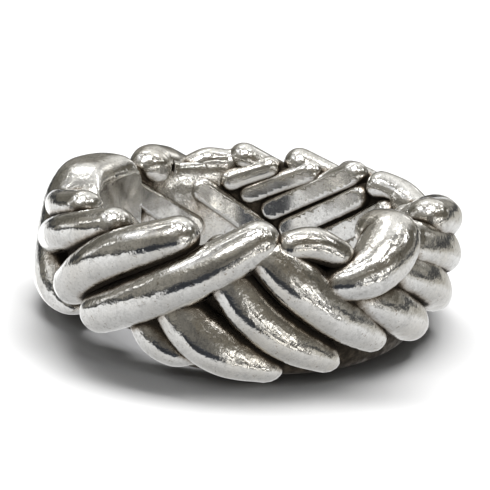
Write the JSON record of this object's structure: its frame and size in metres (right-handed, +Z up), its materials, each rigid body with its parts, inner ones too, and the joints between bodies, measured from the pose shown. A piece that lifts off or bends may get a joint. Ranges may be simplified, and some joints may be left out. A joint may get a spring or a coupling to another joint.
{
  "type": "braided band ring",
  "caption": "Finger ring with a broad plaited band of thick rounded strands and one plain smooth stretch, cast in one piece.",
  "frame": {"origin": "on the finger hole's axis, at the level of the surface that the ring lies on", "axes": "+Z up along the finger hole's axis, -Y towards the face shown in front"},
  "size_m": [0.0256, 0.0244, 0.0084],
  "materials": {
    "silver": "polished silver with fine wear, dark oxide in the grooves"
  },
  "bodies": {
    "root": {"braided_band": "silver"}
  },
  "joints": []
}
